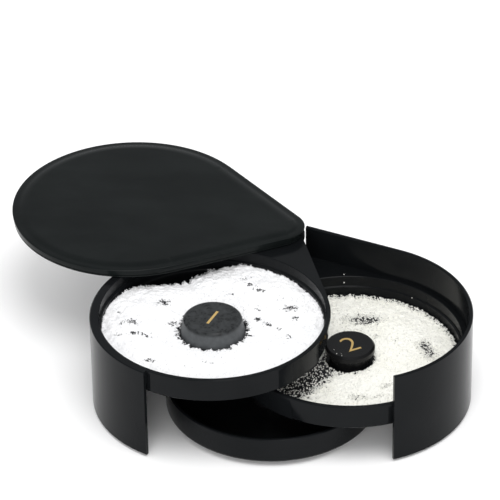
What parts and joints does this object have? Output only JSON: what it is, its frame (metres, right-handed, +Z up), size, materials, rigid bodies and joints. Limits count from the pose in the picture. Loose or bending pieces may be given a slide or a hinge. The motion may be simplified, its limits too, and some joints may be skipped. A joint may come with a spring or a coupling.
{
  "type": "cocktail glass rimmer",
  "caption": "Free-standing cocktail glass rimmer: round trays of rimming crystals and a teardrop lid swing out about an upright rear pivot over a rubber-footed base dish.",
  "frame": {"origin": "Middle of the base dish, on the underside of its rubber pad, on the counter.", "axes": "+Z is up along the pivot axis, +Y points from the dish to the pivot at the back, -Y is the front and +X is to the right seen from the front."},
  "size_m": [0.2932, 0.2596, 0.0686],
  "materials": {
    "black_plastic": "smooth moulded gloss",
    "knob_plastic": "smooth moulded satin",
    "white_crystals": "loose fine crystals",
    "cream_crystals": "loose fine crystals",
    "rubber": "matte",
    "acetal": "natural acetal",
    "steel": "turned stainless",
    "brass": "turned"
  },
  "bodies": {
    "base": {"base_tray": "black_plastic", "base_knob": "knob_plastic", "base_knob_screw": "steel", "base_bush": "acetal", "base_pad": "rubber", "heel_foot": "rubber", "head_washer": "steel", "disc_spring": "steel", "lower_thrust_washer": "acetal"},
    "middle": {"mid_tray": "black_plastic", "mid_knob": "knob_plastic", "mid_knob_screw": "steel", "mid_bush": "acetal", "mid_thrust_washer": "acetal", "mid_fill": "cream_crystals"},
    "top": {"top_tray": "black_plastic", "top_knob": "knob_plastic", "top_knob_screw": "steel", "top_bush": "acetal", "top_thrust_washer": "acetal", "top_fill": "white_crystals"},
    "cover": {"lid": "black_plastic", "lid_insert": "brass", "pivot_bolt": "steel"}
  },
  "joints": [
    {"name": "mid_swing", "type": "hinge", "parent": "base", "child": "middle", "pos_m": [0, 0.097, 0.03], "axis": [0, 0, 1], "range_deg": [-29.2, 50.8]},
    {"name": "top_swing", "type": "hinge", "parent": "base", "child": "top", "pos_m": [0, 0.097, 0.052], "axis": [0, 0, 1], "range_deg": [-58, 22]},
    {"name": "lid_swing", "type": "hinge", "parent": "base", "child": "cover", "pos_m": [0, 0.097, 0.065], "axis": [0, 0, 1], "continuous": true}
  ]
}
